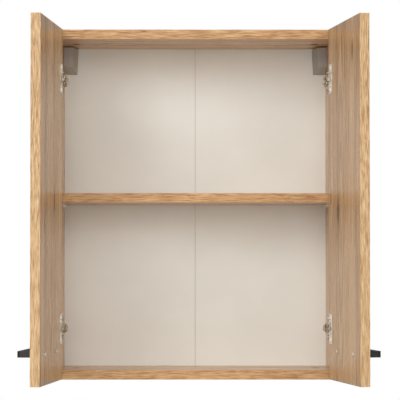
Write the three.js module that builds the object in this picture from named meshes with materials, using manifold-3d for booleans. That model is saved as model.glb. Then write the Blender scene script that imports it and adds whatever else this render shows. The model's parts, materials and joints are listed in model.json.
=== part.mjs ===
// Hanging wall cabinet with two doors, one shelf, concealed hinges and corner hangers.
// Millimetres. X runs to the right, Y to the wall, Z up. The origin is the middle of the underside.
import * as THREE from 'three';
import { mergeVertices } from 'three/addons/utils/BufferGeometryUtils.js';
import Module from 'manifold-3d';

const wasm = await Module();
wasm.setup();

// ---- Carcass ----
const WIDTH = 500;
const HEIGHT = 600;
const DEPTH = 200;
const BOARD = 16;
const JOINT_GAP = 0.2;
const RAIL_RECESS = 20;

// ---- Back panel, two halves in a groove ----
const BACK_THICKNESS = 3;
const GROOVE_CLEARANCE = 0.2;
const GROOVE_DEPTH = 6;
const BACK_IN_GROOVE = 5.4;
const BACK_SPLIT_GAP = 0.4;
const TAPE_WIDTH = 30;
const TAPE_THICKNESS = 0.4;

// ---- Shelf and its pins ----
const SHELF_UNDERSIDE = 303.6;
const SHELF_SET_BACK = 20;
const SHELF_END_GAP = 1;
const SHELF_BACK_GAP = 2;
const PIN_RADIUS = 2.5;
const PIN_HOLE_CLEARANCE = 0.2;
const PIN_IN_BOARD = 8;
const PIN_REACH = 7;
const PIN_HEAD_RADIUS = 3.4;
const PIN_FLAT = 10;
const PIN_FLAT_THICKNESS = 1.6;
const PIN_PITCH = 32;
const PIN_SPARE_ROWS = 1;
const PIN_INSET = 37;

// ---- Cams, their bolts and the dowels that hold the top and the bottom to the sides ----
const CAM_RADIUS = 7.5;
const CAM_THICKNESS = 12.5;
const CAM_CLEARANCE = 0.3;
const CAM_BELOW_FACE = 0.4;
const CAM_FROM_SIDE = 24;
const CAM_FROM_FRONT = 92;
const CAM_CAVITY_RADIUS = 3.6;
const CAM_CAVITY_PAST_CENTRE = 1.8;
const CAM_SLOT_LENGTH = 8;
const CAM_SLOT_WIDTH = 1.6;
const CAM_SLOT_DEPTH = 2;
const BOLT_RADIUS = 2.3;
const BOLT_HEAD_RADIUS = 3.2;
const BOLT_HEAD_LENGTH = 4;
const BOLT_IN_SIDE = 10.5;
const DOWEL_RADIUS = 4;
const DOWEL_IN_SIDE = 9.2;
const DOWEL_IN_BOARD = 20.5;
const DOWEL_INSET = 32;
const BORE_CLEARANCE = 0.3;

// ---- Doors ----
const DOOR_THICKNESS = 16;
const DOOR_REVEAL = 1;
const DOOR_CENTRE_GAP = 3;
const DOOR_FRONT_GAP = 2;
const LEFT_DOOR_OPENING = 95;
const RIGHT_DOOR_OPENING = 97.9;
const FULL_OPENING = 98;

// ---- Hinges, in a frame on the side's inner face at the front edge: x inwards, y to the back ----
const HINGE_FROM_END = 87.5;
const AXIS_FROM_EDGE = 6.8;
const AXIS_IN_FRONT = 16.1;
const CUP_FROM_EDGE = 17.5;
const CUP_RADIUS = 13;
const CUP_WALL = 1.5;
const CUP_DEPTH = 11;
const CUP_FLOOR = 1;
const CUP_FIT = 0.3;
const FLANGE_THICKNESS = 0.8;
const FLANGE_LENGTH = 51;
const FLANGE_WIDTH = 21;
const FLANGE_CORNER = 2.5;
const FLANGE_OFFSET = 0.5;
const CUP_SCREW_PITCH = 38;
const CUP_SCREW_OFFSET = 3;
const SCREW_HEAD_RADIUS = 3.5;
const SCREW_HEAD_HEIGHT = 1.4;
const PLATE_FROM_FRONT = 37;
const PLATE_SCREW_PITCH = 32;
const PLATE_HEIGHT = 6.3;
const PLATE_LENGTH = 30;
const PLATE_WIDTH = 12;
const WING_THICKNESS = 3.4;
const WING_SCREW_HEIGHT = 2.4;
const WING_WIDTH = 10;
const WING_LENGTH = 42;
const ARM_WIDTH = 14.5;
const ARM_TOP = 16.2;
const ARM_NOSE_WIDTH = 12.4;
const ARM_SLOT_WIDTH = 6.2;
const LINK_WIDTH = 4.8;
const LINK_THICKNESS = 2.6;
const LINK_EYE_RADIUS = 2;
const LINK_PIN_RADIUS = 1;
const LINK_PIN_CLEARANCE = 0.2;
const NOSE_FROM_CUP = 6.8;
const NOSE_ABOVE_FLOOR = 4;

// ---- Hangers in the two upper back corners ----
const COVER_DEPTH = 50;
const COVER_BACK_WIDTH = 24.3;
const COVER_FRONT_WIDTH = 18;
const COVER_DRAFT = 1.8;
const COVER_TOP_GAP = 1.5;
const COVER_FRONT_HEIGHT = 35;
const COVER_BACK_HEIGHT = 45;
const COVER_WALL = 1.5;
const COVER_CORNER = 3;
const HANGER_GAP = 1.5;
const HANGER_HEIGHT = 28;
const HOOK_THICKNESS = 2.5;
const HOOK_WIDTH = 11;
const HOOK_DROP = 14;
const HOOK_IN_BODY = 18;
const HOOK_CLEARANCE = 0.3;
const HOOK_FROM_TOP = 12;
const HOOK_WALL_GAP = 3;
const SLOT_MARGIN = 3;

// ---- Handles ----
const HANDLE_HOLE_PITCH = 128;
const HANDLE_HOLE_FROM_EDGE = 49.5;
const HANDLE_LENGTH = 141;
const HANDLE_PROJECTION = 28;
const HANDLE_BAR = 8;
const HANDLE_LEG = 9;
const HANDLE_HEIGHT = 12.8;
const HANDLE_FRONT_HEIGHT = 10.3;
const HANDLE_FROM_BOTTOM = 46.2;
const HANDLE_CORNER = 5;
const HANDLE_INNER_CORNER = 3;
const HANDLE_SEAT_GAP = 0.2;
const HANDLE_SCREW_RISE = 5;
const HANDLE_SCREW_RADIUS = 2;
const HANDLE_SCREW_CLEARANCE = 0.3;
const HANDLE_SCREW_IN_LEG = 9;
const HANDLE_HEAD_RADIUS = 4;
const HANDLE_HEAD_HEIGHT = 2.2;

// ---- Places that follow from the sizes above ----
const INNER = WIDTH / 2 - BOARD;
const FRONT = -DEPTH / 2;
const WALL = DEPTH / 2;
const BACK_FACE = WALL - RAIL_RECESS - BACK_THICKNESS;
const DOOR_WIDTH = WIDTH / 2 - DOOR_REVEAL - DOOR_CENTRE_GAP / 2;
const DOOR_HEIGHT = HEIGHT - 2 * DOOR_REVEAL;
const DOOR_EDGE = DOOR_REVEAL - BOARD;
const DOOR_INNER = -DOOR_FRONT_GAP;
const DOOR_OUTER = DOOR_INNER - DOOR_THICKNESS;
const AXIS_X = DOOR_EDGE + AXIS_FROM_EDGE;
const AXIS_Y = -AXIS_IN_FRONT;
const CUP_X = DOOR_EDGE + CUP_FROM_EDGE;
const CUP_BOTTOM = DOOR_INNER - CUP_DEPTH;
const NOSE_END = new THREE.Vector2(
  CUP_X + NOSE_FROM_CUP, CUP_BOTTOM + CUP_FLOOR + NOSE_ABOVE_FLOOR);
const FLANGE_TOP = DOOR_INNER + CUP_FIT + FLANGE_THICKNESS;
const HINGE_HEIGHTS = { lower: HINGE_FROM_END, upper: HEIGHT - HINGE_FROM_END };

// ---- Materials ----
const finish = (color, roughness, metalness) =>
  new THREE.MeshStandardMaterial({ color, roughness, metalness });
const oak = finish(0xc99a62, 0.5, 0);
const backWhite = finish(0xe6ded4, 0.6, 0);
const tapePaper = finish(0xb9ab97, 0.8, 0);
const nickel = finish(0xb9b6b0, 0.3, 1);
const greyPlastic = finish(0x8b857b, 0.5, 0);
const zinc = finish(0x9c9a95, 0.4, 1);
const blackPaint = finish(0x1c1c1d, 0.4, 0.2);
const beech = finish(0xd8bd92, 0.7, 0);

// ---- Solids ----
function solid(geometry) {
  geometry.deleteAttribute('normal');
  geometry.deleteAttribute('uv');
  const merged = mergeVertices(geometry, 1e-4);
  return new wasm.Manifold(new wasm.Mesh({
    numProp: 3,
    vertProperties: new Float32Array(merged.attributes.position.array),
    triVerts: new Uint32Array(merged.index.array),
  }));
}

function block(x, y, z) {
  const box = new THREE.BoxGeometry(x[1] - x[0], y[1] - y[0], z[1] - z[0]);
  box.translate((x[0] + x[1]) / 2, (y[0] + y[1]) / 2, (z[0] + z[1]) / 2);
  return solid(box);
}

// A round rod along one axis, from one end to the other, at a place across that axis.
function rod(axis, radius, ends, at, segments = 24) {
  const cylinder = new THREE.CylinderGeometry(radius, radius, ends[1] - ends[0], segments);
  const middle = (ends[0] + ends[1]) / 2;
  if (axis === 'x') {
    cylinder.rotateZ(Math.PI / 2);
    cylinder.translate(middle, at[0], at[1]);
  }
  if (axis === 'y') {
    cylinder.translate(at[0], middle, at[1]);
  }
  if (axis === 'z') {
    cylinder.rotateX(Math.PI / 2);
    cylinder.translate(at[0], at[1], middle);
  }
  return solid(cylinder);
}

// An outline drawn in X and Y, raised along Z.
function standing(shape, z, curveSegments = 6) {
  const depth = z[1] - z[0];
  const prism = new THREE.ExtrudeGeometry(shape, { depth, bevelEnabled: false, curveSegments });
  prism.translate(0, 0, z[0]);
  return solid(prism);
}

// An outline drawn in X and Z, with its thickness along Y.
function facing(shape, y, curveSegments = 6) {
  const depth = y[1] - y[0];
  const prism = new THREE.ExtrudeGeometry(shape, { depth, bevelEnabled: false, curveSegments });
  prism.rotateX(Math.PI / 2);
  prism.translate(0, y[1], 0);
  return solid(prism);
}

function roundedRectangle(x, y, radius) {
  const shape = new THREE.Shape();
  shape.moveTo(x[0] + radius, y[0]);
  shape.lineTo(x[1] - radius, y[0]);
  shape.absarc(x[1] - radius, y[0] + radius, radius, -Math.PI / 2, 0);
  shape.lineTo(x[1], y[1] - radius);
  shape.absarc(x[1] - radius, y[1] - radius, radius, 0, Math.PI / 2);
  shape.lineTo(x[0] + radius, y[1]);
  shape.absarc(x[0] + radius, y[1] - radius, radius, Math.PI / 2, Math.PI);
  shape.lineTo(x[0], y[0] + radius);
  shape.absarc(x[0] + radius, y[0] + radius, radius, Math.PI, 1.5 * Math.PI);
  return shape;
}

function outline(points) {
  return new THREE.Shape(points.map(([x, y]) => new THREE.Vector2(x, y)));
}

function piece(name, body, material) {
  const { vertProperties, triVerts } = body.getMesh();
  const geometry = new THREE.BufferGeometry();
  geometry.setAttribute('position', new THREE.BufferAttribute(new Float32Array(vertProperties), 3));
  geometry.setIndex(new THREE.BufferAttribute(new Uint32Array(triVerts), 1));
  geometry.computeVertexNormals();
  const mesh = new THREE.Mesh(geometry, material);
  mesh.name = name;
  return mesh;
}

// A cross recess in a screw head whose face looks along +Y.
function crossRecess(face, size) {
  const reach = [face - 1, face + 1];
  const long = [-size, size];
  const thin = [-size / 4, size / 4];
  return block(thin, reach, long).add(block(long, reach, thin));
}

// ---- Boards ----
const grooveY = [BACK_FACE - GROOVE_CLEARANCE, BACK_FACE + BACK_THICKNESS + GROOVE_CLEARANCE];
const pinDepths = [FRONT + SHELF_SET_BACK + PIN_INSET, BACK_FACE - SHELF_BACK_GAP - PIN_INSET];
const pinHeight = SHELF_UNDERSIDE - JOINT_GAP - PIN_HEAD_RADIUS;
const camDepth = FRONT + CAM_FROM_FRONT;
const dowelDepths = { front: FRONT + DOWEL_INSET, rear: BACK_FACE - DOWEL_INSET };
const boardMiddles = { bottom: BOARD / 2, top: HEIGHT - BOARD / 2 };
const camMiddle = BOARD / 2 - CAM_BELOW_FACE;

function sideBoard() {
  let body = block([-WIDTH / 2, -INNER], [FRONT, WALL], [0, HEIGHT]);
  body = body.subtract(block([-INNER - GROOVE_DEPTH, -INNER + 1], grooveY, [-1, HEIGHT + 1]));
  const hole = [-INNER - PIN_IN_BOARD - 1, -INNER + 1];
  for (const depth of pinDepths) {
    for (let row = -PIN_SPARE_ROWS; row <= PIN_SPARE_ROWS; row += 1) {
      const height = pinHeight + row * PIN_PITCH;
      body = body.subtract(rod('x', PIN_RADIUS + PIN_HOLE_CLEARANCE, hole, [depth, height], 12));
    }
  }
  const boltHole = [-INNER - BOLT_IN_SIDE - BORE_CLEARANCE, -INNER + 1];
  const dowelHole = [-INNER - DOWEL_IN_SIDE - BORE_CLEARANCE, -INNER + 1];
  for (const z of Object.values(boardMiddles)) {
    body = body.subtract(rod('x', BOLT_RADIUS + BORE_CLEARANCE, boltHole, [camDepth, z], 16));
    for (const depth of Object.values(dowelDepths)) {
      body = body.subtract(rod('x', DOWEL_RADIUS + BORE_CLEARANCE, dowelHole, [depth, z], 20));
    }
  }
  return body;
}

// The top or the bottom. Its cams are let into the face that looks into the cabinet.
function levelBoard(z, innerFace, into) {
  const x = [-INNER + JOINT_GAP, INNER - JOINT_GAP];
  let body = block(x, [FRONT, WALL], z);
  const groove = [innerFace, innerFace + into * GROOVE_DEPTH].sort((a, b) => a - b);
  body = body.subtract(block([-WIDTH, WIDTH], grooveY, groove));
  const camEnd = CAM_BELOW_FACE + CAM_THICKNESS + CAM_CLEARANCE;
  const bore = [innerFace - into, innerFace + into * camEnd].sort((a, b) => a - b);
  const middle = innerFace + into * BOARD / 2;
  for (const side of [-1, 1]) {
    const camX = side * (INNER - CAM_FROM_SIDE);
    body = body.subtract(rod('z', CAM_RADIUS + CAM_CLEARANCE, bore, [camX, camDepth], 24));
    const boltHole = [side * WIDTH / 2, camX].sort((a, b) => a - b);
    const boltBore = rod('x', BOLT_HEAD_RADIUS + BORE_CLEARANCE, boltHole, [camDepth, middle], 16);
    body = body.subtract(boltBore);
    const dowelHole = [side * WIDTH / 2, side * (INNER - DOWEL_IN_BOARD - BORE_CLEARANCE)];
    dowelHole.sort((a, b) => a - b);
    for (const depth of Object.values(dowelDepths)) {
      const dowelBore = rod('x', DOWEL_RADIUS + BORE_CLEARANCE, dowelHole, [depth, middle], 20);
      body = body.subtract(dowelBore);
    }
  }
  return body;
}

// A cam, drawn for a left-hand joint: its face at zero, its open side towards the bolt.
function cam(into) {
  const ends = [0, into * CAM_THICKNESS].sort((a, b) => a - b);
  const disc = rod('z', CAM_RADIUS, ends, [0, 0], 24);
  const reach = [-into, into * CAM_SLOT_DEPTH].sort((a, b) => a - b);
  const long = [-CAM_SLOT_LENGTH / 2, CAM_SLOT_LENGTH / 2];
  const thin = [-CAM_SLOT_WIDTH / 2, CAM_SLOT_WIDTH / 2];
  const cavityEnds = [-CAM_RADIUS - 1, CAM_CAVITY_PAST_CENTRE];
  const cavity = rod('x', CAM_CAVITY_RADIUS, cavityEnds, [0, into * camMiddle], 16);
  return disc.subtract(block(long, thin, reach)).subtract(block(thin, long, reach)).subtract(cavity);
}

// A cam bolt, from inside the left side board to the middle of the cam.
function camBolt() {
  const end = CAM_FROM_SIDE + 1;
  const shank = rod('x', BOLT_RADIUS, [-BOLT_IN_SIDE, end], [0, 0], 16);
  return shank.add(rod('x', BOLT_HEAD_RADIUS, [end - BOLT_HEAD_LENGTH, end], [0, 0], 16));
}

function dowel() {
  return rod('x', DOWEL_RADIUS, [-DOWEL_IN_SIDE, DOWEL_IN_BOARD], [0, 0], 20);
}

function shelfPin() {
  const stem = rod('x', PIN_RADIUS, [-PIN_IN_BOARD, 1], [0, 0], 12);
  const head = rod('x', PIN_HEAD_RADIUS, [JOINT_GAP, PIN_REACH], [0, 0], 16);
  const flatZ = [PIN_HEAD_RADIUS - PIN_FLAT_THICKNESS, PIN_HEAD_RADIUS];
  const flat = block([JOINT_GAP, PIN_REACH], [-PIN_FLAT / 2, PIN_FLAT / 2], flatZ);
  return stem.add(head).add(flat);
}

// ---- Back panel ----
const backZ = [BOARD - BACK_IN_GROOVE, HEIGHT - BOARD + BACK_IN_GROOVE];
const hookZ = HEIGHT - BOARD - HOOK_FROM_TOP;

// The left half, with a slot for the hook.
function backPanel() {
  const x = [-INNER - BACK_IN_GROOVE, -BACK_SPLIT_GAP / 2];
  const panel = block(x, [BACK_FACE, BACK_FACE + BACK_THICKNESS], backZ);
  const hookX = -INNER + HANGER_GAP;
  const slotX = [hookX - HANGER_GAP / 2, hookX + HOOK_WIDTH + SLOT_MARGIN];
  const slotZ = [hookZ - HOOK_DROP - SLOT_MARGIN, hookZ + HOOK_THICKNESS + SLOT_MARGIN];
  return panel.subtract(block(slotX, [BACK_FACE - 1, WALL], slotZ));
}

function backTape() {
  const start = BACK_FACE + BACK_THICKNESS + JOINT_GAP;
  const z = [BOARD + 1, HEIGHT - BOARD - 1];
  return block([-TAPE_WIDTH / 2, TAPE_WIDTH / 2], [start, start + TAPE_THICKNESS], z);
}

// ---- Hangers, drawn for the left corner: x from the side's inner face, y from the back panel ----
const coverTop = HEIGHT - BOARD - COVER_TOP_GAP;

function coverOuter(inset) {
  const back = -JOINT_GAP + (inset > 0 ? 1 : 0);
  const front = -COVER_DEPTH + inset;
  const edge = inset > 0 ? -1 : JOINT_GAP;
  const plan = new THREE.Shape();
  const corner = Math.max(COVER_CORNER - inset, 1);
  plan.moveTo(edge, front);
  plan.lineTo(COVER_FRONT_WIDTH - inset - corner, front);
  plan.quadraticCurveTo(COVER_FRONT_WIDTH - inset, front, COVER_FRONT_WIDTH - inset, front + corner);
  plan.lineTo(COVER_BACK_WIDTH - inset, back);
  plan.lineTo(edge, back);
  const low = coverTop - COVER_BACK_HEIGHT;
  let body = standing(plan, [low + inset, coverTop - inset], 5);
  const rise = COVER_BACK_HEIGHT - COVER_FRONT_HEIGHT;
  const wedge = new THREE.Shape();
  wedge.moveTo(front - 5, low - 5);
  wedge.lineTo(5, low - 5);
  wedge.lineTo(5, low + inset);
  wedge.lineTo(0, low + inset);
  wedge.lineTo(front, low + rise + inset);
  wedge.lineTo(front - 5, low + rise + inset);
  const cut = new THREE.ExtrudeGeometry(wedge, { depth: 80, bevelEnabled: false });
  cut.rotateX(Math.PI / 2);
  cut.rotateZ(Math.PI / 2);
  cut.translate(-20, 0, 0);
  body = body.subtract(solid(cut));
  return body;
}

// The cover is drawn in a little towards its bottom.
function hangerCover() {
  const cover = coverOuter(0).subtract(coverOuter(COVER_WALL));
  return cover.warp((point) => {
    const fall = (coverTop - point[2]) / COVER_BACK_HEIGHT;
    point[0] = JOINT_GAP + (point[0] - JOINT_GAP) * (1 - fall * COVER_DRAFT / COVER_BACK_WIDTH);
  });
}

const hangerX = [JOINT_GAP, COVER_FRONT_WIDTH - COVER_WALL - COVER_DRAFT - HANGER_GAP / 2];
const hangerY = [-COVER_DEPTH + COVER_WALL + HANGER_GAP, -JOINT_GAP];
const hangerTop = coverTop - COVER_WALL - HANGER_GAP;

function hangerBody() {
  const z = [hangerTop - HANGER_HEIGHT, hangerTop];
  let body = block(hangerX, hangerY, z);
  const gap = HOOK_CLEARANCE;
  const slotX = [HANGER_GAP - gap, HANGER_GAP + HOOK_WIDTH + gap];
  const slotZ = [hookZ - gap, hookZ + HOOK_THICKNESS + gap];
  body = body.subtract(block(slotX, [-HOOK_IN_BODY - gap, 1], slotZ));
  for (const height of [hangerTop - 7, hangerTop - HANGER_HEIGHT + 6]) {
    const at = [(hangerX[0] + hangerX[1]) / 2, height];
    body = body.subtract(rod('y', 3, [hangerY[0] - 1, hangerY[0] + 2], at, 20));
  }
  return body;
}

function hangerHook() {
  const x = [HANGER_GAP, HANGER_GAP + HOOK_WIDTH];
  const tip = BACK_THICKNESS + RAIL_RECESS - HOOK_WALL_GAP;
  const tongue = block(x, [-HOOK_IN_BODY, tip], [hookZ, hookZ + HOOK_THICKNESS]);
  const drop = block(x, [tip - HOOK_THICKNESS, tip], [hookZ - HOOK_DROP, hookZ + 1]);
  return tongue.add(drop);
}

// ---- Hinge pieces ----
function mountingPlate() {
  const centre = PLATE_FROM_FRONT;
  const bodyY = [centre - PLATE_LENGTH / 2, centre + PLATE_LENGTH / 2];
  let plate = block([JOINT_GAP, PLATE_HEIGHT], bodyY, [-PLATE_WIDTH / 2, PLATE_WIDTH / 2]);
  const wingY = [-WING_WIDTH / 2, WING_WIDTH / 2];
  const wing = roundedRectangle([-WING_LENGTH / 2, WING_LENGTH / 2], wingY, WING_WIDTH / 2 - 0.1);
  const settings = { depth: WING_THICKNESS, bevelEnabled: false, curveSegments: 3 };
  const wings = new THREE.ExtrudeGeometry(wing, settings);
  wings.rotateY(Math.PI / 2);
  wings.translate(JOINT_GAP, centre, 0);
  plate = plate.add(solid(wings));
  const wingFace = JOINT_GAP + WING_THICKNESS;
  const headX = [wingFace - 0.2, wingFace + WING_SCREW_HEIGHT];
  for (const z of [-PLATE_SCREW_PITCH / 2, PLATE_SCREW_PITCH / 2]) {
    plate = plate.add(rod('x', SCREW_HEAD_RADIUS, headX, [centre, z], 14));
  }
  return plate;
}

// The arm's side view: it lies on the mounting plate, rises to the front and reaches into the cup.
const armBase = PLATE_HEIGHT + 0.3;
const noseX = [NOSE_END.x - 2.1, NOSE_END.x + 2.1];
const noseTip = NOSE_END.y - 2.2;

// The arm seen from the front: straight sides on the mounting plate and a round top.
function archedSection() {
  const radius = ARM_WIDTH / 2;
  const shape = new THREE.Shape();
  shape.moveTo(armBase - 1, -radius);
  shape.lineTo(ARM_TOP - radius, -radius);
  shape.absarc(ARM_TOP - radius, 0, radius, -Math.PI / 2, Math.PI / 2);
  shape.lineTo(armBase - 1, radius);
  return shape;
}

function hingeArm() {
  const rear = PLATE_FROM_FRONT + PLATE_LENGTH / 2 - 2;
  const side = standing(outline([
    [armBase, rear], [armBase, 1], [ARM_TOP - 0.4, 1], [ARM_TOP, 5], [ARM_TOP - 1.6, 14],
    [ARM_TOP - 4.2, 24], [ARM_TOP - 6, rear - 6], [ARM_TOP - 6.8, rear],
  ]), [-ARM_WIDTH / 2, ARM_WIDTH / 2]);
  const body = side.intersect(facing(archedSection(), [0, rear + 1], 8));
  const nose = standing(outline([
    [noseX[0], 4], [noseX[0], noseTip + 1.2], [noseX[0] + 1.2, noseTip], [noseX[1] - 1.2, noseTip],
    [noseX[1], noseTip + 1.2], [noseX[1], -0.8], [13.5, 2], [13.5, 4],
  ]), [-ARM_NOSE_WIDTH / 2, ARM_NOSE_WIDTH / 2]);
  const slot = block([0, 30], [noseTip - 5, 8], [-ARM_SLOT_WIDTH / 2, ARM_SLOT_WIDTH / 2]);
  let arm = body.add(nose).subtract(slot);
  const screws = [{ y: 19, radius: 2.6 }, { y: 38, radius: 3.2 }];
  for (const { y, radius } of screws) {
    arm = arm.subtract(rod('x', radius + 0.5, [armBase + 2.6, 30], [y, 0], 14));
    arm = arm.add(rod('x', radius, [armBase + 2, armBase + 4], [y, 0], 14));
  }
  return arm;
}

const linkPivot = linkPivotPlace();

// The link's pin in the cup stands equally far from the nose with the door shut and fully open.
function linkPivotPlace() {
  const axis = new THREE.Vector2(AXIS_X, AXIS_Y);
  const nose = NOSE_END.clone().sub(axis);
  const half = THREE.MathUtils.degToRad(FULL_OPENING / 2);
  const direction = nose.clone().rotateAround(new THREE.Vector2(), half).normalize();
  const pinBelowFace = 2.5;
  const reach = (DOOR_INNER - pinBelowFace - AXIS_Y) / direction.y;
  return direction.multiplyScalar(reach).add(axis);
}

// The angle at which the link points from its pin to the nose, seen from the door.
function linkAngle(opening) {
  const axis = new THREE.Vector2(AXIS_X, AXIS_Y);
  const turn = THREE.MathUtils.degToRad(opening);
  const nose = NOSE_END.clone().rotateAround(axis, turn).sub(linkPivot);
  return Math.atan2(nose.y, nose.x);
}

const linkShut = linkAngle(0);
const linkOpen = linkAngle(FULL_OPENING);
const linkLength = NOSE_END.distanceTo(linkPivot);

function hingeCup() {
  const outerRadius = CUP_RADIUS - CUP_FIT;
  const flangeY = [FLANGE_TOP - FLANGE_THICKNESS, FLANGE_TOP];
  const wide = [CUP_X + FLANGE_OFFSET - FLANGE_WIDTH / 2, CUP_X + FLANGE_OFFSET + FLANGE_WIDTH / 2];
  const long = [-FLANGE_LENGTH / 2, FLANGE_LENGTH / 2];
  let cup = facing(roundedRectangle(wide, long, FLANGE_CORNER), flangeY, 3);
  cup = cup.add(rod('y', CUP_RADIUS + 1, flangeY, [CUP_X, 0], 24));
  cup = cup.add(rod('y', outerRadius, [CUP_BOTTOM, FLANGE_TOP], [CUP_X, 0], 24));
  const cavityY = [CUP_BOTTOM + CUP_FLOOR, 2];
  const cavity = rod('y', outerRadius - CUP_WALL + 0.3, cavityY, [CUP_X, 0], 24);
  cup = cup.subtract(cavity);
  const pinEnds = [-outerRadius, outerRadius];
  const pin = rod('z', LINK_PIN_RADIUS, pinEnds, [linkPivot.x, linkPivot.y], 12);
  cup = cup.add(pin.intersect(rod('y', outerRadius - 0.4, [CUP_BOTTOM, FLANGE_TOP], [CUP_X, 0], 24)));
  const headY = [FLANGE_TOP - 0.2, FLANGE_TOP + SCREW_HEAD_HEIGHT];
  for (const z of [-CUP_SCREW_PITCH / 2, CUP_SCREW_PITCH / 2]) {
    const x = CUP_X + CUP_SCREW_OFFSET;
    cup = cup.add(rod('y', SCREW_HEAD_RADIUS, headY, [x, z], 14));
  }
  return cup;
}

// The link is bent so that it clears the cup's floor when shut and its rim when open.
// It is drawn from its pin at the origin, with the nose end along +X.
function hingeLink() {
  const knee = new THREE.Vector2(4.6, -4.5);
  const end = new THREE.Vector2(linkLength, 0);
  const half = LINK_THICKNESS / 2;
  const z = [-LINK_WIDTH / 2, LINK_WIDTH / 2];
  const strip = (from, to) => {
    const across = to.clone().sub(from).normalize().multiplyScalar(half);
    const side = new THREE.Vector2(-across.y, across.x);
    return standing(outline([
      [from.x - side.x, from.y - side.y], [to.x - side.x, to.y - side.y],
      [to.x + side.x, to.y + side.y], [from.x + side.x, from.y + side.y],
    ]), z);
  };
  let link = strip(new THREE.Vector2(), knee).add(strip(knee, end));
  link = link.add(rod('z', half, z, [knee.x, knee.y], 12));
  link = link.add(rod('z', LINK_EYE_RADIUS, z, [0, 0], 14));
  link = link.add(rod('z', LINK_EYE_RADIUS - 0.3, z, [end.x, end.y], 12));
  const hole = LINK_PIN_RADIUS + LINK_PIN_CLEARANCE;
  return link.subtract(rod('z', hole, [-LINK_WIDTH, LINK_WIDTH], [0, 0], 12));
}

// ---- Door pieces, drawn with the door shut, in the hinge frame of the left door ----
const doorFreeEdge = DOOR_EDGE + DOOR_WIDTH;
const handleZ = [HANDLE_FROM_BOTTOM - DOOR_REVEAL, HANDLE_FROM_BOTTOM - DOOR_REVEAL + HANDLE_HEIGHT];
const screwZ = handleZ[0] + HANDLE_SCREW_RISE;
const screwPlaces = {
  inner: HANDLE_HOLE_FROM_EDGE + HANDLE_HOLE_PITCH,
  outer: HANDLE_HOLE_FROM_EDGE,
};

function door() {
  const z = [DOOR_REVEAL, DOOR_REVEAL + DOOR_HEIGHT];
  let body = block([DOOR_EDGE, doorFreeEdge], [DOOR_OUTER, DOOR_INNER], z);
  const boreEnd = DOOR_INNER - CUP_DEPTH - CUP_FIT;
  for (const height of Object.values(HINGE_HEIGHTS)) {
    body = body.subtract(rod('y', CUP_RADIUS, [boreEnd, DOOR_INNER + 1], [CUP_X, height], 24));
  }
  for (const place of Object.values(screwPlaces)) {
    const at = [doorFreeEdge - place, DOOR_REVEAL + screwZ];
    const radius = HANDLE_SCREW_RADIUS + HANDLE_SCREW_CLEARANCE;
    body = body.subtract(rod('y', radius, [DOOR_OUTER - 1, DOOR_INNER + 1], at, 16));
  }
  return body;
}

// The handle and its screws are drawn about the middle of the handle, in front of the door.
function handle() {
  const half = HANDLE_LENGTH / 2;
  const front = DOOR_OUTER - HANDLE_PROJECTION;
  const seat = DOOR_OUTER - HANDLE_SEAT_GAP;
  const outer = roundedRectangle([-half, half], [front, seat + HANDLE_CORNER], HANDLE_CORNER);
  const gapX = [-half + HANDLE_LEG, half - HANDLE_LEG];
  const gapY = [front + HANDLE_BAR, seat + HANDLE_INNER_CORNER * 2];
  const inner = roundedRectangle(gapX, gapY, HANDLE_INNER_CORNER);
  let body = standing(outer, handleZ);
  body = body.subtract(standing(inner, [handleZ[0] - 1, handleZ[1] + 1]));
  body = body.subtract(block([-half - 1, half + 1], [seat, seat + 20], [0, HEIGHT]));
  const fall = HANDLE_HEIGHT - HANDLE_FRONT_HEIGHT;
  const slope = new THREE.Shape();
  slope.moveTo(front - 1, handleZ[1] - fall);
  slope.lineTo(front + HANDLE_BAR, handleZ[1] - fall);
  slope.lineTo(seat, handleZ[1]);
  slope.lineTo(seat, handleZ[1] + 5);
  slope.lineTo(front - 1, handleZ[1] + 5);
  const cut = new THREE.ExtrudeGeometry(slope, { depth: HANDLE_LENGTH + 10, bevelEnabled: false });
  cut.rotateX(Math.PI / 2);
  cut.rotateZ(Math.PI / 2);
  cut.translate(-half - 5, 0, 0);
  body = body.subtract(solid(cut));
  const hole = HANDLE_SCREW_RADIUS + HANDLE_SCREW_CLEARANCE;
  for (const x of [-HANDLE_HOLE_PITCH / 2, HANDLE_HOLE_PITCH / 2]) {
    const depth = [DOOR_OUTER - HANDLE_SCREW_IN_LEG - 1, DOOR_OUTER + 1];
    body = body.subtract(rod('y', hole, depth, [x, screwZ], 16));
  }
  return body;
}

function handleScrew() {
  const headStart = DOOR_INNER + JOINT_GAP;
  const shank = [DOOR_OUTER - HANDLE_SCREW_IN_LEG, headStart + 0.5];
  const head = [headStart, headStart + HANDLE_HEAD_HEIGHT];
  const body = rod('y', HANDLE_SCREW_RADIUS, shank, [0, 0], 16)
    .add(rod('y', HANDLE_HEAD_RADIUS, head, [0, 0], 24));
  return body.subtract(crossRecess(head[1], 2.4));
}

// ---- Assembly ----
const cabinet = new THREE.Group();

function place(parent, mesh, x, y, z) {
  mesh.position.set(x, y, z);
  parent.add(mesh);
  return mesh;
}

const shelfX = [-INNER + SHELF_END_GAP, INNER - SHELF_END_GAP];
const shelfY = [FRONT + SHELF_SET_BACK, BACK_FACE - SHELF_BACK_GAP];
const pinRows = { front: pinDepths[0], rear: pinDepths[1] };

cabinet.add(piece('top_board', levelBoard([HEIGHT - BOARD, HEIGHT], HEIGHT - BOARD, 1), oak));
cabinet.add(piece('bottom_board', levelBoard([0, BOARD], BOARD, -1), oak));
cabinet.add(piece('shelf', block(shelfX, shelfY, [SHELF_UNDERSIDE, SHELF_UNDERSIDE + BOARD]), oak));
cabinet.add(piece('back_tape', backTape(), tapePaper));

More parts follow.
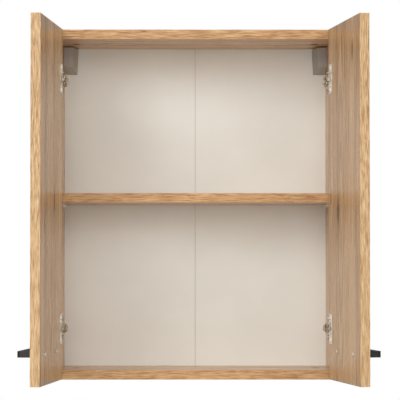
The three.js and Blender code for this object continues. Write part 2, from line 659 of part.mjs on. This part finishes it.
// One half of the carcass, drawn for the left. The right half is the same, seen in a mirror.
function carcassHalf(name) {
  const half = new THREE.Group();
  half.add(piece(`side_${name}`, sideBoard(), oak));
  half.add(piece(`back_panel_${name}`, backPanel(), backWhite));
  const camX = -INNER + CAM_FROM_SIDE;
  const camBottom = piece(`cam_bottom_${name}`, cam(-1), zinc);
  place(half, camBottom, camX, camDepth, BOARD - CAM_BELOW_FACE);
  const camTop = piece(`cam_top_${name}`, cam(1), zinc);
  place(half, camTop, camX, camDepth, HEIGHT - BOARD + CAM_BELOW_FACE);
  for (const [level, z] of Object.entries(boardMiddles)) {
    place(half, piece(`cam_bolt_${level}_${name}`, camBolt(), zinc), -INNER, camDepth, z);
    for (const [row, depth] of Object.entries(dowelDepths)) {
      place(half, piece(`dowel_${level}_${name}_${row}`, dowel(), beech), -INNER, depth, z);
    }
  }
  for (const [row, depth] of Object.entries(pinRows)) {
    place(half, piece(`shelf_pin_${name}_${row}`, shelfPin(), zinc), -INNER, depth, pinHeight);
  }
  place(half, piece(`hanger_cover_${name}`, hangerCover(), greyPlastic), -INNER, BACK_FACE, 0);
  place(half, piece(`hanger_body_${name}`, hangerBody(), zinc), -INNER, BACK_FACE, 0);
  place(half, piece(`hanger_hook_${name}`, hangerHook(), zinc), -INNER, BACK_FACE, 0);
  for (const [row, height] of Object.entries(HINGE_HEIGHTS)) {
    place(half, piece(`hinge_plate_${name}_${row}`, mountingPlate(), nickel), -INNER, FRONT, height);
    place(half, piece(`hinge_arm_${name}_${row}`, hingeArm(), nickel), -INNER, FRONT, height);
  }
  return half;
}

// One door with what is fixed to it, turned about its hinge axis by its opening.
function doorHalf(name, opening) {
  const swing = new THREE.Group();
  swing.position.set(-INNER + AXIS_X, FRONT + AXIS_Y, 0);
  swing.rotation.z = -THREE.MathUtils.degToRad(opening);

  const shut = new THREE.Group();
  shut.position.set(-AXIS_X, -AXIS_Y, 0);
  swing.add(shut);
  shut.add(piece(`door_${name}`, door(), oak));

  const handleX = doorFreeEdge - HANDLE_HOLE_FROM_EDGE - HANDLE_HOLE_PITCH / 2;
  place(shut, piece(`handle_${name}`, handle(), blackPaint), handleX, 0, DOOR_REVEAL);
  for (const [row, fromEdge] of Object.entries(screwPlaces)) {
    const screw = piece(`handle_screw_${name}_${row}`, handleScrew(), zinc);
    place(shut, screw, doorFreeEdge - fromEdge, 0, DOOR_REVEAL + screwZ);
  }
  const share = opening / FULL_OPENING;
  for (const [row, height] of Object.entries(HINGE_HEIGHTS)) {
    place(shut, piece(`hinge_cup_${name}_${row}`, hingeCup(), nickel), 0, 0, height);
    const link = piece(`hinge_link_${name}_${row}`, hingeLink(), nickel);
    link.rotation.z = linkShut + (linkOpen - linkShut) * share;
    place(shut, link, linkPivot.x, linkPivot.y, height);
  }
  return swing;
}

const openings = { left: LEFT_DOOR_OPENING, right: RIGHT_DOOR_OPENING };

for (const [name, opening] of Object.entries(openings)) {
  const side = new THREE.Group();
  side.scale.x = name === 'left' ? 1 : -1;
  side.add(carcassHalf(name));
  side.add(doorHalf(name, opening));
  cabinet.add(side);
}

export default cabinet;
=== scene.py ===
"""The looks of a hanging wall cabinet: oak laminate boards, white back, nickel hinges, black handles."""
import json
import math

import bmesh
import bpy
from mathutils import Matrix, Vector

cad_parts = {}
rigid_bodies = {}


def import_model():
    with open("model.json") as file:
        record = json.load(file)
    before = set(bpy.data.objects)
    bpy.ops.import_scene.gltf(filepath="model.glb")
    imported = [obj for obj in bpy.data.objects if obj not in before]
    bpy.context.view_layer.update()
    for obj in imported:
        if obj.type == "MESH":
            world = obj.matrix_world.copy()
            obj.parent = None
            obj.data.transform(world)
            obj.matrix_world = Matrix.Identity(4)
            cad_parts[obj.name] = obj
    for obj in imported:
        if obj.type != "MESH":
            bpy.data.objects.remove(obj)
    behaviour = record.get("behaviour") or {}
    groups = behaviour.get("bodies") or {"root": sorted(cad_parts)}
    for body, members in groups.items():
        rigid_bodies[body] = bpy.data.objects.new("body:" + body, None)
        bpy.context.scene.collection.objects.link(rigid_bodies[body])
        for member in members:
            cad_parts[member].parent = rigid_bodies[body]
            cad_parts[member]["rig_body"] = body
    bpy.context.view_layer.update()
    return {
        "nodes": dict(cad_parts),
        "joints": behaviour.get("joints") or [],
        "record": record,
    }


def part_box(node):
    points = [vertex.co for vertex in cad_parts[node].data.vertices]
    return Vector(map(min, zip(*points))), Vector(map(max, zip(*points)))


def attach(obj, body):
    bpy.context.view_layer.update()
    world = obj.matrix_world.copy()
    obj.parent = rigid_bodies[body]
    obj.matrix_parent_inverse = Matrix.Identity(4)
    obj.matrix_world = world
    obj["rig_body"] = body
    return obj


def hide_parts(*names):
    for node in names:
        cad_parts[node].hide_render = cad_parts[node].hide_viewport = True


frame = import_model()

MM = 0.001
SIDES = ("left", "right")

# ---- Where things are, from the frame ----
front_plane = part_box("side_left")[0].y
joints = {joint["name"]: joint for joint in frame["joints"]}


def shut_to_rest(side):
    """The turn that takes a door from shut to the way it stands at rest."""
    joint = joints[f"door_{side}_swing"]
    pivot = Matrix.Translation(Vector(joint["pos_m"]))
    turn = Matrix.Rotation(math.radians(-joint["range_deg"][0]), 4, Vector(joint["axis"]))
    return pivot @ turn @ pivot.inverted()


DOOR_TURN = {side: shut_to_rest(side) for side in SIDES}


# ---- Colour ----
def srgb(red, green, blue):
    """A colour named as on a paint card, 0 to 255, as Blender's linear values."""
    def linear(value):
        value /= 255
        return value / 12.92 if value <= 0.04045 else ((value + 0.055) / 1.055) ** 2.4
    return (linear(red), linear(green), linear(blue), 1.0)


# ---- Material recipes ----
class Recipe:
    """A material that is built up from nodes."""

    def __init__(self, name):
        self.material = bpy.data.materials.new(name)
        self.material.use_nodes = True
        self.tree = self.material.node_tree
        self.tree.nodes.clear()
        self.shader = self.add("ShaderNodeBsdfPrincipled")
        output = self.add("ShaderNodeOutputMaterial")
        self.tree.links.new(self.shader.outputs[0], output.inputs["Surface"])

    def add(self, kind, sockets=None, **settings):
        node = self.tree.nodes.new(kind)
        for key, value in settings.items():
            setattr(node, key, value)
        for key, value in (sockets or {}).items():
            self.plug(node.inputs[key], value)
        return node

    def plug(self, socket, value):
        if isinstance(value, bpy.types.NodeSocket):
            self.tree.links.new(value, socket)
        else:
            socket.default_value = value

    def math(self, operation, first, second=0.0):
        node = self.add("ShaderNodeMath", operation=operation)
        self.plug(node.inputs[0], first)
        self.plug(node.inputs[1], second)
        return node.outputs[0]

    def place(self, turn=None):
        """Object coordinates, turned into a board's own frame."""
        turn = turn or Matrix.Identity(4)
        coordinates = self.add("ShaderNodeTexCoord").outputs["Object"]
        mapping = self.add("ShaderNodeMapping", {
            "Vector": coordinates, "Rotation": turn.to_euler(), "Location": turn.to_translation()})
        return mapping.outputs[0]

    def stretch(self, vector, scale):
        return self.add("ShaderNodeMapping", {"Vector": vector, "Scale": scale}).outputs[0]

    def noise(self, vector, scale=1.0, detail=4.0, roughness=0.5, distortion=0.0):
        node = self.add("ShaderNodeTexNoise", {
            "Vector": vector, "Scale": scale, "Detail": detail,
            "Roughness": roughness, "Distortion": distortion})
        return node.outputs["Fac"]

    def span(self, value, low, high, to_low=0.0, to_high=1.0):
        node = self.add("ShaderNodeMapRange", {
            "Value": value, "From Min": low, "From Max": high, "To Min": to_low, "To Max": to_high})
        return node.outputs[0]

    def mix(self, factor, first, second, blend="MIX"):
        node = self.add("ShaderNodeMix", data_type="RGBA", blend_type=blend)
        self.plug(node.inputs[0], factor)
        self.plug(node.inputs[6], first)
        self.plug(node.inputs[7], second)
        return node.outputs[2]

    def ramp(self, value, stops):
        node = self.add("ShaderNodeValToRGB", {"Fac": value})
        elements = node.color_ramp.elements
        while len(elements) < len(stops):
            elements.new(0.5)
        for element, (position, colour) in zip(elements, stops):
            element.position = position
            element.color = colour
        return node.outputs[0]

    def bump(self, height, strength, distance):
        node = self.add("ShaderNodeBump", {"Height": height, "Strength": strength,
                                           "Distance": distance})
        self.plug(self.shader.inputs["Normal"], node.outputs[0])


GRAIN_SWING = 7 * MM
FIBRE_SHARE = 0.14
PORE_SHARE = 0.3


def wood(name, look, grain_axes, turn=None, shift=(0, 0, 0), heart=(0, 0), planks=(), knots=()):
    """Oak laminate: streaks and pores along the grain, arched figure, plank tones and knots.

    planks holds places across and their tints, knots holds place, height, size and depth.
    """
    recipe = Recipe(name)
    place = recipe.place(turn)
    parts = recipe.add("ShaderNodeSeparateXYZ", {"Vector": place}).outputs
    across, through, along = (parts["XYZ".index(axis.upper())] for axis in grain_axes)
    grain = recipe.add("ShaderNodeCombineXYZ", {"X": across, "Y": through, "Z": along}).outputs[0]
    own = recipe.add("ShaderNodeVectorMath", {0: grain, 1: shift}, operation="ADD").outputs[0]

    slow = recipe.noise(recipe.stretch(own, (7, 7, 2.4)), 1.0, 2.0)
    slow = recipe.span(slow, 0.3, 0.7, -GRAIN_SWING, GRAIN_SWING)
    quick = recipe.noise(recipe.stretch(own, (60, 60, 26)), 1.0, 2.0)
    quick = recipe.span(quick, 0.3, 0.7, -look["waver"], look["waver"])
    sway = recipe.math("ADD", slow, quick)
    offset = recipe.add("ShaderNodeCombineXYZ", {"X": sway, "Y": sway}).outputs[0]
    bent = recipe.add("ShaderNodeVectorMath", {0: own, 1: offset}, operation="ADD").outputs[0]
    swung = recipe.add("ShaderNodeVectorMath", {0: grain, 1: offset}, operation="ADD").outputs[0]

    broad = recipe.noise(recipe.stretch(bent, (30, 30, 1.1)), 1.0, 3.0, 0.55)
    streaks = recipe.noise(recipe.stretch(bent, look["streak"]), 1.0, 4.0, 0.6)
    fibres = recipe.noise(recipe.stretch(bent, (850, 850, 26)), 1.0, 3.0, 0.6)
    centre = (-heart[0], 0.0, -heart[1])
    centred = recipe.add("ShaderNodeVectorMath", {0: swung, 1: centre}, operation="ADD").outputs[0]
    rings = recipe.add("ShaderNodeTexWave", {
        "Vector": recipe.stretch(centred, (30, 0, 3.4)), "Scale": 1.0, "Distortion": 3.2,
        "Detail": 3.0, "Detail Scale": 1.6, "Detail Roughness": 0.55},
        wave_type="RINGS", rings_direction="SPHERICAL", wave_profile="SIN").outputs["Fac"]

    tone = recipe.math("MULTIPLY", broad, look["broad"])
    for layer, share in ((streaks, look["contrast"]), (fibres, FIBRE_SHARE), (rings, look["figure"])):
        tone = recipe.math("ADD", tone, recipe.math("MULTIPLY", layer, share))
    total = (look["broad"] + look["contrast"] + FIBRE_SHARE + look["figure"]) / 2
    colour = recipe.ramp(recipe.span(tone, total - 0.15, total + 0.15), look["tones"])

    if planks:
        low, high = planks[0][0], planks[-1][0]
        stops = [((edge - low) / (high - low), tint) for edge, tint in planks]
        shade = recipe.ramp(recipe.span(across, low, high), stops)
        colour = recipe.mix(1.0, colour, shade, "MULTIPLY")
    for place_across, height, size, depth in knots:
        middle = (-place_across, 0.0, -height)
        near = recipe.add("ShaderNodeVectorMath", {0: swung, 1: middle}, operation="ADD").outputs[0]
        near = recipe.stretch(near, (1 / size, 0, 0.34 / size))
        far = recipe.add("ShaderNodeVectorMath", {0: near}, operation="LENGTH").outputs["Value"]
        halo = recipe.math("MULTIPLY", recipe.span(far, 2.4, 0.4), 0.5 * depth)
        colour = recipe.mix(halo, colour, srgb(140, 98, 64))
        core = recipe.math("MULTIPLY", recipe.span(far, 0.85, 0.45), depth)
        colour = recipe.mix(core, colour, srgb(84, 55, 36))

    pores = recipe.noise(recipe.stretch(bent, (1300, 1300, 60)), 1.0, 2.0, 0.5)
    pores = recipe.span(pores, 0.60, 0.68)
    colour = recipe.mix(recipe.math("MULTIPLY", pores, PORE_SHARE), colour, srgb(118, 82, 50))
    recipe.plug(recipe.shader.inputs["Base Color"], colour)
    recipe.plug(recipe.shader.inputs["Roughness"],
                recipe.span(streaks, 0.3, 0.7, look["gloss"] + 0.06, look["gloss"] - 0.04))
    recipe.shader.inputs["Specular IOR Level"].default_value = 0.5
    height = recipe.math("SUBTRACT", recipe.math("MULTIPLY", streaks, 0.5), pores)
    recipe.bump(height, 0.2, 0.0002)
    return recipe.material


FACE_LOOK = {
    "tones": ((0.0, srgb(152, 111, 73)), (0.35, srgb(197, 156, 113)), (0.65, srgb(215, 176, 131)),
              (1.0, srgb(229, 194, 147))),
    "streak": (170, 170, 5), "waver": 0.0006, "broad": 0.45, "contrast": 0.42, "figure": 0.10,
    "gloss": 0.28,
}
UPRIGHT_EDGE_LOOK = {
    "tones": ((0.0, srgb(150, 108, 64)), (0.3, srgb(190, 148, 100)), (0.6, srgb(213, 176, 128)),
              (1.0, srgb(230, 200, 156))),
    "streak": (640, 640, 44), "waver": 0.0006, "broad": 0.20, "contrast": 0.76, "figure": 0.0,
    "gloss": 0.46,
}
LEVEL_EDGE_LOOK = {
    "tones": ((0.0, srgb(134, 84, 42)), (0.3, srgb(178, 128, 77)), (0.6, srgb(201, 155, 103)),
              (1.0, srgb(219, 181, 132))),
    "streak": (640, 640, 32), "waver": 0.0006, "broad": 0.22, "contrast": 0.78, "figure": 0.0,
    "gloss": 0.46,
}


def lacquered_back():
    """White lacquered fibreboard, very slightly mottled and warm."""
    recipe = Recipe("white_back_panel")
    place = recipe.place()
    cloud = recipe.noise(place, 9.0, 3.0)
    fine = recipe.noise(place, 900.0, 2.0)
    colour = recipe.ramp(cloud, ((0.35, srgb(241, 243, 236)), (0.65, srgb(246, 248, 242))))
    recipe.plug(recipe.shader.inputs["Base Color"], colour)
    recipe.plug(recipe.shader.inputs["Roughness"], recipe.span(cloud, 0.3, 0.7, 0.5, 0.58))
    recipe.bump(fine, 0.06, 0.0002)
    return recipe.material


def plated(name, dark, light, roughness, scale=700.0, metallic=1.0):
    """Plated steel with faint rolling marks and a cloudy sheen."""
    recipe = Recipe(name)
    place = recipe.place()
    marks = recipe.noise(recipe.stretch(place, (1, 1, 0.12)), scale, 3.0)
    cloud = recipe.noise(place, 90.0, 3.0)
    colour = recipe.ramp(cloud, ((0.3, dark), (0.7, light)))
    recipe.plug(recipe.shader.inputs["Base Color"], colour)
    recipe.shader.inputs["Metallic"].default_value = metallic
    recipe.plug(recipe.shader.inputs["Roughness"],
                recipe.span(marks, 0.3, 0.7, roughness - 0.06, roughness + 0.1))
    recipe.bump(marks, 0.12, 0.0001)
    return recipe.material


def moulded(name, dark, light, roughness, grain=2200.0, depth=0.2):
    """A fine-grained skin, for moulded plastic and for plain beech."""
    recipe = Recipe(name)
    place = recipe.place()
    cloud = recipe.noise(place, 60.0, 3.0)
    skin = recipe.noise(place, grain, 2.0)
    recipe.plug(recipe.shader.inputs["Base Color"], recipe.ramp(cloud, ((0.3, dark), (0.7, light))))
    recipe.plug(recipe.shader.inputs["Roughness"],
                recipe.span(skin, 0.3, 0.7, roughness - 0.05, roughness + 0.08))
    recipe.bump(skin, depth, 0.0002)
    return recipe.material


def painted_black():
    """Black powder coat with a faint orange peel and a cloudy tone."""
    recipe = Recipe("black_metal")
    place = recipe.place()
    peel = recipe.noise(place, 700.0, 2.0)
    cloud = recipe.noise(place, 45.0, 4.0)
    colour = recipe.ramp(cloud, ((0.3, srgb(29, 28, 26)), (0.7, srgb(44, 42, 39))))
    recipe.plug(recipe.shader.inputs["Base Color"], colour)
    recipe.plug(recipe.shader.inputs["Roughness"], recipe.span(cloud, 0.3, 0.7, 0.34, 0.46))
    recipe.bump(peel, 0.1, 0.0002)
    return recipe.material


def paper():
    """Matt paper tape."""
    recipe = Recipe("paper_tape")
    place = recipe.place()
    fibre = recipe.noise(recipe.stretch(place, (1, 1, 0.3)), 900.0, 4.0, 0.7)
    colour = recipe.ramp(fibre, ((0.3, srgb(176, 164, 146)), (0.7, srgb(202, 191, 173))))
    recipe.plug(recipe.shader.inputs["Base Color"], colour)
    recipe.plug(recipe.shader.inputs["Roughness"], recipe.span(fibre, 0.3, 0.7, 0.78, 0.9))
    recipe.bump(fibre, 0.3, 0.0002)
    return recipe.material


def fibreboard():
    """The bare brown rear of hard fibreboard, with short pressed fibres."""
    recipe = Recipe("bare_fibreboard")
    place = recipe.place()
    fibre = recipe.noise(recipe.stretch(place, (1, 1, 0.6)), 420.0, 6.0, 0.75, 0.6)
    cloud = recipe.noise(place, 14.0, 3.0)
    tone = recipe.math("ADD", recipe.math("MULTIPLY", fibre, 0.6), recipe.math("MULTIPLY", cloud, 0.4))
    colour = recipe.ramp(tone, ((0.3, srgb(128, 94, 62)), (0.7, srgb(168, 131, 92))))
    recipe.plug(recipe.shader.inputs["Base Color"], colour)
    recipe.plug(recipe.shader.inputs["Roughness"], recipe.span(fibre, 0.3, 0.7, 0.7, 0.85))
    recipe.bump(fibre, 0.25, 0.0003)
    return recipe.material


FINISHES = {
    "bare_fibreboard": fibreboard(),
    "white_back_panel": lacquered_back(),
    "nickel_steel": plated("nickel_steel", srgb(176, 172, 164), srgb(206, 203, 196), 0.27),
    # Hinge arms and links: tan and darker than the plates, a painted dark reflection of the dim room
    # their fronts face.
    "hinge_arm_steel_painted_dark_reflection": plated("hinge_arm_steel_painted_dark_reflection", srgb(158, 145, 124), srgb(186, 172, 150), 0.4,
                              metallic=0.8),
    # Hinge cups: near white and only part metal, a painted bright reflection of the glare a flange
    # catches when seen edge-on.
    "hinge_cup_steel_painted_reflection": plated("hinge_cup_steel_painted_reflection", srgb(232, 226, 213), srgb(246, 242, 231), 0.3,
                              metallic=0.3),
    "zinc_steel": plated("zinc_steel", srgb(160, 160, 160), srgb(192, 192, 190), 0.34),
    "pale_zinc": plated("pale_zinc", srgb(214, 205, 190), srgb(234, 227, 214), 0.34, metallic=0.45),
    # Cams: zinc metal, with its dark brown colour standing in as painted shade of the joint line they
    # sit in.
    "zinc_painted_joint_shade": plated("zinc_painted_joint_shade", srgb(62, 54, 46), srgb(84, 75, 64), 0.55, metallic=0.5),
    "grey_plastic": moulded("grey_plastic", srgb(168, 164, 157), srgb(178, 174, 167), 0.45),
    "beech_wood": moulded("beech_wood", srgb(205, 175, 132), srgb(222, 196, 155), 0.7),
    "black_metal": painted_black(),
    "paper_tape": paper(),
}
SLOTS = {part["node"]: part["material_slot"] for part in frame["record"]["subparts"]}


# ---- Mesh helpers ----
SHARP_ANGLE = 30.0
SMOOTH_ANGLE = 40.0
BEVEL_SEGMENTS = 2


def softened(node, radius):
    """A copy of a CAD node's solid, merged and with its sharp edges rounded."""
    mesh = frame["nodes"][node].data.copy()
    form = bmesh.new()
    form.from_mesh(mesh)
    bmesh.ops.remove_doubles(form, verts=form.verts, dist=2e-6)
    bmesh.ops.dissolve_limit(form, angle_limit=math.radians(0.6), verts=form.verts,
                             edges=form.edges)
    limit = math.radians(SHARP_ANGLE)
    sharp = [edge for edge in form.edges
             if edge.is_manifold and edge.calc_face_angle(0.0) > limit]
    if radius:
        bmesh.ops.bevel(form, geom=sharp, offset=radius, offset_type="OFFSET", affect="EDGES",
                        segments=BEVEL_SEGMENTS, profile=0.5, material=-1, clamp_overlap=True)
    return form


def finish_piece(form, name, body, materials, replaces, pick=None):
    """Makes a piece from a form, with its materials, its body and what it stands for."""
    limit = math.radians(SMOOTH_ANGLE)
    for face in form.faces:
        face.smooth = True
        face.material_index = pick(face) if pick else 0
    for edge in form.edges:
        edge.smooth = not (edge.is_manifold and edge.calc_face_angle(0.0) > limit)
    mesh = bpy.data.meshes.new(name)
    form.to_mesh(mesh)
    form.free()
    for material in materials:
        mesh.materials.append(material)
    piece = bpy.data.objects.new(name, mesh)
    bpy.context.scene.collection.objects.link(piece)
    even = piece.modifiers.new("even_flat_faces", "WEIGHTED_NORMAL")
    even.weight = 100
    even.keep_sharp = True
    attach(piece, body)
    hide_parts(*replaces)
    return piece


def body_of(node):
    return frame["nodes"][node]["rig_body"]


# ---- Boards ----
BOARD_EDGE = 0.45 * MM
AXES = {"x": Vector((1, 0, 0)), "y": Vector((0, 1, 0)), "z": Vector((0, 0, 1))}


def board(node, grain_axes, turn=None, shift=(0, 0, 0), **figure):
    """A laminated board: printed faces, banded edges, corners eased by hand.

    grain_axes names the board's axes across the grain, through its thickness and along the grain.
    """
    turn = turn or Matrix.Identity(4)
    back = turn.inverted()
    edge_look = UPRIGHT_EDGE_LOOK if grain_axes[2] == "z" else LEVEL_EDGE_LOOK
    edge_shift = [value + 0.37 for value in shift]
    face = wood(f"oak_face_{node}", FACE_LOOK, grain_axes, back, shift, **figure)
    edge = wood(f"oak_edge_{node}", edge_look, grain_axes, back, edge_shift)
    axis = turn.to_3x3() @ AXES[grain_axes[1]]
    return finish_piece(softened(node, BOARD_EDGE), f"{node}_oak", body_of(node), (face, edge),
                        (node,), pick=lambda side: int(abs(side.normal.dot(axis)) < 0.7))


def tint(level, warmth=0.0):
    """A plank's shade: its brightness, and how much redder than its neighbours it is."""
    return (level * (1 + warmth), level, level * (1 - warmth), 1.0)


def planks_from_hinge(side, stops):
    """Plank tones given as distances in mm from the hinge edge, as places across the cabinet."""
    sign = -1 if side == "left" else 1
    placed = [(sign * (0.249 - edge * MM), tint(level, warmth)) for edge, level, warmth in stops]
    return sorted(placed)


board("side_left", "yxz", shift=(0.11, 0.31, 0.7), heart=(0.03, 0.42))
board("side_right", "yxz", shift=(0.83, 0.12, 0.2), heart=(-0.04, 0.22))
board("top_board", "yzx", shift=(0.4, 0.9, 0.3), heart=(0.02, -0.12))
board("bottom_board", "yzx", shift=(1.7, 0.2, 0.6), heart=(-0.05, 0.1))
board("shelf", "yzx", shift=(0.9, 1.4, 0.1), heart=(0.0, 0.05))

DOOR_PLANKS = {
    "left": ((0, 0.89, 0.0), (38, 1.03, 0.0), (65, 0.95, 0.0), (97, 0.87, 0.01), (106, 0.90, 0.0),
             (132, 1.11, 0.01), (150, 1.06, 0.0), (170, 0.88, -0.01), (192, 0.74, 0.0),
             (200, 0.82, -0.02), (211, 1.07, 0.0), (228, 1.11, 0.0), (247, 0.95, 0.02)),
    "right": ((0, 0.93, 0.0), (20, 0.95, 0.0), (56, 0.94, 0.0), (66, 0.84, 0.0), (76, 0.83, 0.0),
              (88, 1.04, 0.01), (101, 1.05, 0.0), (115, 0.97, 0.0), (140, 1.05, 0.0),
              (168, 1.05, 0.0), (209, 1.0, 0.0), (222, 0.97, 0.01), (247, 0.99, 0.02)),
}
DOOR_KNOTS = {
    "left": ((-0.155, 0.305, 0.011, 0.75), (-0.047, 0.262, 0.006, 0.6), (-0.13, 0.52, 0.005, 0.5)),
    "right": ((0.170, 0.285, 0.012, 0.8), (0.226, 0.31, 0.006, 0.6), (0.060, 0.545, 0.008, 0.7)),
}
DOOR_HEARTS = {"left": (-0.12, 0.34), "right": (0.15, 0.30)}
for side in SIDES:
    board(f"door_{side}", "xyz", DOOR_TURN[side], (0.0, 0.4, 0.0), heart=DOOR_HEARTS[side],
          planks=planks_from_hinge(side, DOOR_PLANKS[side]), knots=DOOR_KNOTS[side])

# ---- Everything else takes the shape of its solid, with its edges rounded ----
ROUNDING = {
    "back_panel": 0.2, "back_tape": 0.0, "hanger_cover": 0.9, "hanger_body": 0.5,
    "hanger_hook": 0.5, "shelf_pin": 0.4, "cam": 0.2, "dowel": 0.4, "handle_screw": 0.25,
    "handle": 0.9, "hinge_plate": 0.35, "hinge_arm": 0.6, "hinge_cup": 0.25, "hinge_link": 0.35,
}


def rounding_of(node):
    names = [name for name in ROUNDING if node.startswith(name)]
    return ROUNDING[max(names, key=len)] * MM


# Pieces whose finish differs from the plain finish of their slot: a bare rear face, other plating, and
# hinge and cam colours that carry painted reflection and painted shade.
OWN_FINISHES = {
    "back_panel": ("white_back_panel", "bare_fibreboard"), "hinge_arm": ("hinge_arm_steel_painted_dark_reflection",),
    "hinge_link": ("hinge_arm_steel_painted_dark_reflection",), "hinge_cup": ("hinge_cup_steel_painted_reflection",),
    "shelf_pin": ("pale_zinc",), "handle_screw": ("pale_zinc",),
    "cam_top": ("zinc_painted_joint_shade",), "cam_bottom": ("zinc_painted_joint_shade",),
}


def finishes_of(node):
    """The materials of a piece: its own, or the one its slot names."""
    names = [own for start, own in OWN_FINISHES.items() if node.startswith(start)]
    return [FINISHES[name] for name in (names[0] if names else (SLOTS[node],))]


def is_rear(face):
    return int(face.normal.y > 0.7)


for node in sorted(frame["nodes"]):
    if SLOTS[node] != "oak_board":
        form = softened(node, rounding_of(node))
        materials = finishes_of(node)
        pick = is_rear if len(materials) > 1 else None
        finish_piece(form, f"{node}_piece", body_of(node), materials, (node,), pick)


# ---- Camera ----
LENS_MM = 195.4
CAMERA_RIGHT, CAMERA_AWAY, CAMERA_HEIGHT = -0.0172, 3.7184, 0.1903
CAMERA_TILT, CAMERA_PAN = math.radians(91.80), math.radians(-0.38)


def camera():
    data = bpy.data.cameras.new("view")
    data.sensor_width = 36.0
    data.lens = LENS_MM
    data.clip_end = 100.0
    place = bpy.data.objects.new("view", data)
    place.location = (CAMERA_RIGHT, front_plane - CAMERA_AWAY, CAMERA_HEIGHT)
    place.rotation_euler = (CAMERA_TILT, 0.0, CAMERA_PAN)
    bpy.context.scene.collection.objects.link(place)
    bpy.context.scene.camera = place


# ---- Light and floor ----
def soft_light(name, place, aim, size, power):
    data = bpy.data.lights.new(name, "AREA")
    data.shape = "DISK"
    data.size = size
    data.energy = power
    lamp = bpy.data.objects.new(name, data)
    lamp.location = place
    lamp.rotation_euler = (Vector(aim) - Vector(place)).to_track_quat("-Z", "Y").to_euler()
    bpy.context.scene.collection.objects.link(lamp)


def studio():
    middle = (0, 0, 0.3)
    soft_light("key", (-1.9, -3.2, 2.0), middle, 1.5, 46)
    soft_light("key_low", (-1.0, -3.6, 1.0), middle, 1.5, 14)
    soft_light("front_fill", (0.1, -4.4, 0.8), middle, 2.0, 26)
    soft_light("right_fill", (1.9, -3.2, 1.6), middle, 1.5, 23)
    soft_light("overhead", (0.0, -2.0, 3.0), middle, 1.6, 14)
    world = bpy.data.worlds.new("white_studio")
    world.use_nodes = True
    tree = world.node_tree
    tree.nodes.clear()
    seen = tree.nodes.new("ShaderNodeBackground")
    seen.inputs["Strength"].default_value = 1.0
    lighting = tree.nodes.new("ShaderNodeBackground")
    lighting.inputs["Strength"].default_value = 0.32
    for shade in (seen, lighting):
        shade.inputs["Color"].default_value = (1, 1, 1, 1)
    rays = tree.nodes.new("ShaderNodeLightPath")
    mix = tree.nodes.new("ShaderNodeMixShader")
    output = tree.nodes.new("ShaderNodeOutputWorld")
    tree.links.new(rays.outputs["Is Camera Ray"], mix.inputs[0])
    tree.links.new(lighting.outputs[0], mix.inputs[1])
    tree.links.new(seen.outputs[0], mix.inputs[2])
    tree.links.new(mix.outputs[0], output.inputs["Surface"])
    bpy.context.scene.world = world
    bpy.context.scene.view_settings.view_transform = "Standard"


FLOOR_LEVEL = -1.2


def floor():
    form = bmesh.new()
    bmesh.ops.create_grid(form, x_segments=1, y_segments=1, size=14.0)
    bmesh.ops.translate(form, verts=form.verts, vec=(0, 0, FLOOR_LEVEL))
    mesh = bpy.data.meshes.new("studio_floor")
    form.to_mesh(mesh)
    form.free()
    recipe = Recipe("pale_floor")
    cloud = recipe.noise(recipe.place(), 3.0, 2.0)
    colour = recipe.ramp(cloud, ((0.3, srgb(246, 246, 245)), (0.7, srgb(250, 250, 249))))
    recipe.plug(recipe.shader.inputs["Base Color"], colour)
    recipe.shader.inputs["Roughness"].default_value = 0.8
    mesh.materials.append(recipe.material)
    ground = bpy.data.objects.new("studio_floor", mesh)
    bpy.context.scene.collection.objects.link(ground)


camera()
studio()
floor()
